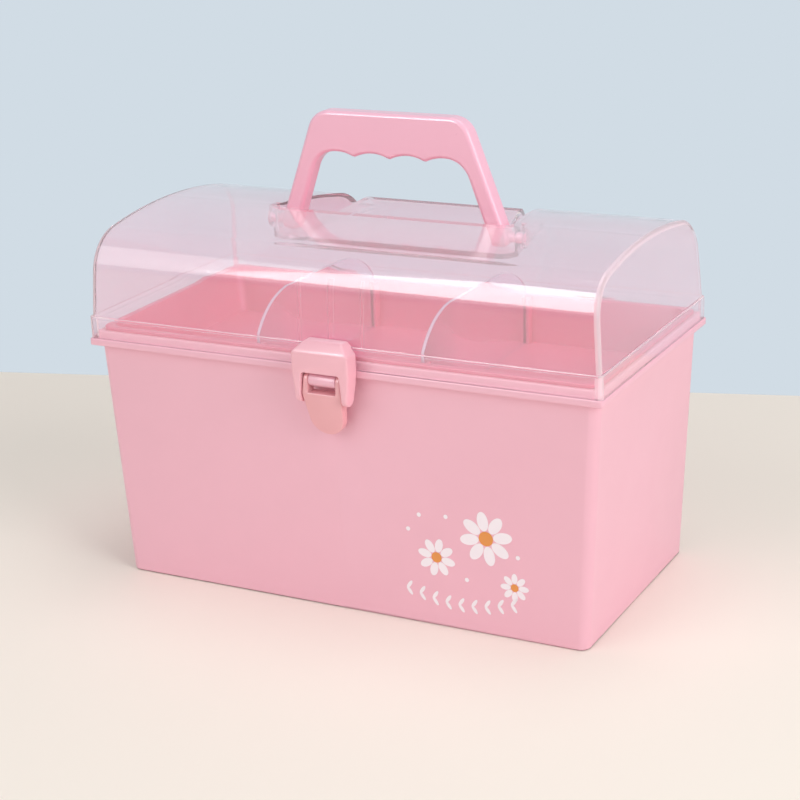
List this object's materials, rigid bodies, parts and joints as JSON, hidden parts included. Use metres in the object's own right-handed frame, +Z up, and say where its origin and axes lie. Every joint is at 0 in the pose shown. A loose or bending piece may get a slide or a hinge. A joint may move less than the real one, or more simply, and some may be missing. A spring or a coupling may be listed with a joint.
{
  "type": "storage case with folding handle",
  "caption": "Moulded storage case with a clear domed hinged lid, a fold-down handle with finger scallops, a draw latch and a lift-out tray with clear dividers.",
  "frame": {"origin": "Centre of the flat underside of the case.", "axes": "+X runs along the front to the viewer's right, +Y from the front to the back, +Z up."},
  "size_m": [0.273, 0.1544, 0.2315],
  "materials": {
    "body_pink": "satin moulded plastic",
    "lid_clear": "clear tinted glossy plastic",
    "handle_pink": "satin moulded plastic",
    "latch_pink": "satin moulded plastic",
    "pin_steel": "drawn steel wire",
    "tray_pink": "satin moulded plastic",
    "divider_clear": "clear glossy sheet"
  },
  "bodies": {
    "base": {"base_shell": "body_pink", "latch_bracket": "body_pink", "hinge_pin_left": "pin_steel", "hinge_pin_right": "pin_steel", "latch_pin": "pin_steel"},
    "lid": {"lid_shell": "lid_clear"},
    "handle": {"handle": "handle_pink"},
    "lever": {"latch_lever": "latch_pink"},
    "hook": {"latch_hook": "latch_pink"},
    "tray": {"tray": "tray_pink"},
    "divider_left": {"divider_left": "divider_clear"},
    "divider_right": {"divider_right": "divider_clear"}
  },
  "joints": [
    {"name": "lid_open", "type": "hinge", "parent": "base", "child": "lid", "pos_m": [0, 0.0729, 0.1248], "axis": [-1, 0, 0], "range_deg": [0, 105]},
    {"name": "handle_fold", "type": "hinge", "parent": "lid", "child": "handle", "pos_m": [0, 0.003, 0.1745], "axis": [-1, 0, 0], "range_deg": [0, 83]},
    {"name": "lever_turn", "type": "hinge", "parent": "base", "child": "lever", "pos_m": [0, -0.0734, 0.1203], "axis": [-1, 0, 0], "range_deg": [0, 120]},
    {"name": "hook_swing", "type": "hinge", "parent": "lever", "child": "hook", "pos_m": [0, -0.0739, 0.113], "axis": [-1, 0, 0], "range_deg": [-120, 0]},
    {"name": "tray_lift", "type": "slide", "parent": "base", "child": "tray", "axis": [0, 0, 1], "range_m": [0, 0.012]},
    {"name": "divider_left_lift", "type": "slide", "parent": "tray", "child": "divider_left", "axis": [0, 0, 1], "range_m": [0, 0.012]},
    {"name": "divider_right_lift", "type": "slide", "parent": "tray", "child": "divider_right", "axis": [0, 0, 1], "range_m": [0, 0.012]}
  ],
  "couplings": [
    {"joint": "hook_swing", "follows": "lever_turn", "ratio": -1}
  ]
}
